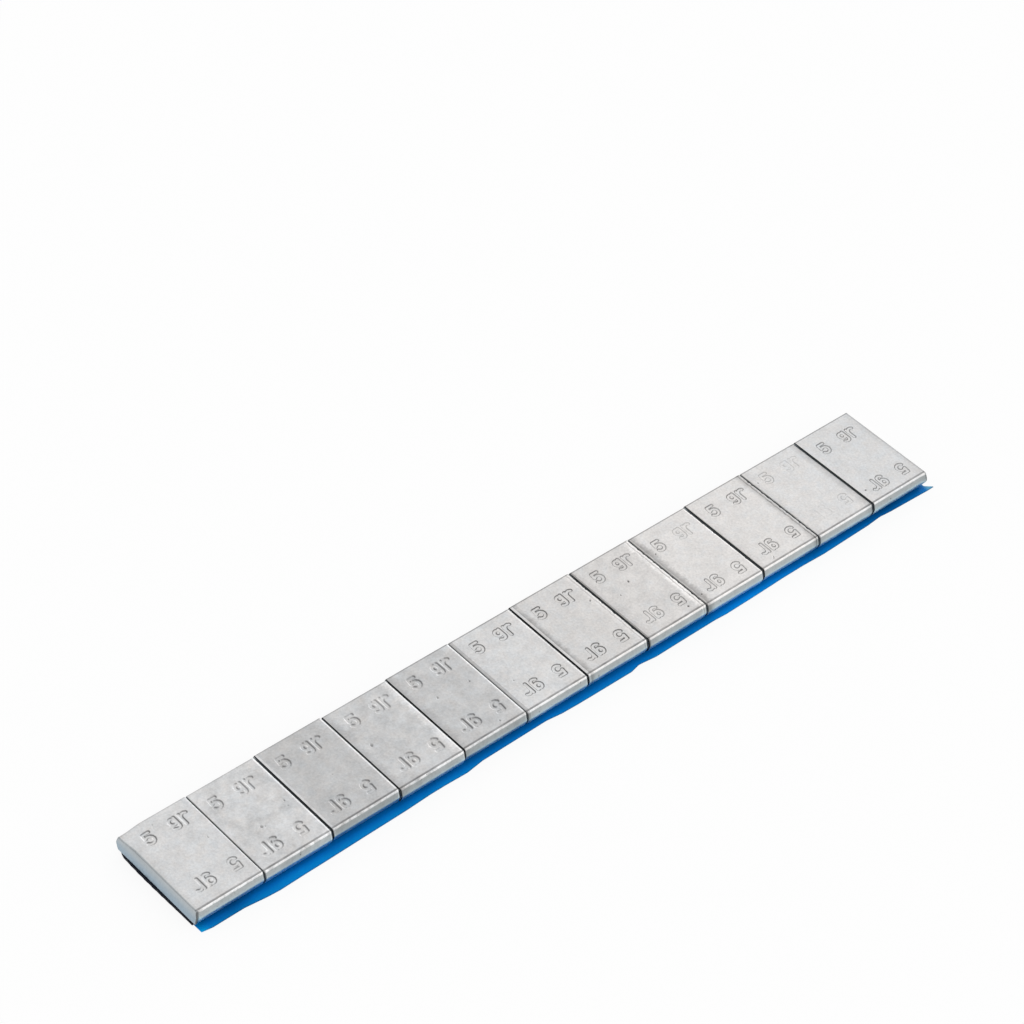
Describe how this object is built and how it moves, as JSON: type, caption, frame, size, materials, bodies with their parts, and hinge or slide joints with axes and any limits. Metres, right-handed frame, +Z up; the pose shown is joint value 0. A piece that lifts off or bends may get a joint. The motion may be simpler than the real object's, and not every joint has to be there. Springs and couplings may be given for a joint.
{
  "type": "wheel balance weight",
  "caption": "Strip of flat zinc-plated steel balance weights on one double-sided tape with a blue release liner, parted in the number needed and stuck inside a wheel rim.",
  "frame": {"origin": "middle of the row of weights, on the underside of the release liner", "axes": "+X along the strip, -Y towards the liner's flap, +Z up through the weights"},
  "size_m": [0.1509, 0.0205, 0.0036],
  "materials": {
    "zinc_plate": "satin zinc plating on steel",
    "foam_tape": "matt black foam with adhesive on both faces",
    "liner_film": "smooth blue film"
  },
  "bodies": {
    "root": {"weight_01": "zinc_plate", "weight_02": "zinc_plate", "weight_03": "zinc_plate", "weight_04": "zinc_plate", "weight_05": "zinc_plate", "weight_06": "zinc_plate", "weight_07": "zinc_plate", "weight_08": "zinc_plate", "weight_09": "zinc_plate", "weight_10": "zinc_plate", "weight_11": "zinc_plate", "weight_12": "zinc_plate", "adhesive_tape": "foam_tape", "release_liner": "liner_film"}
  },
  "joints": []
}
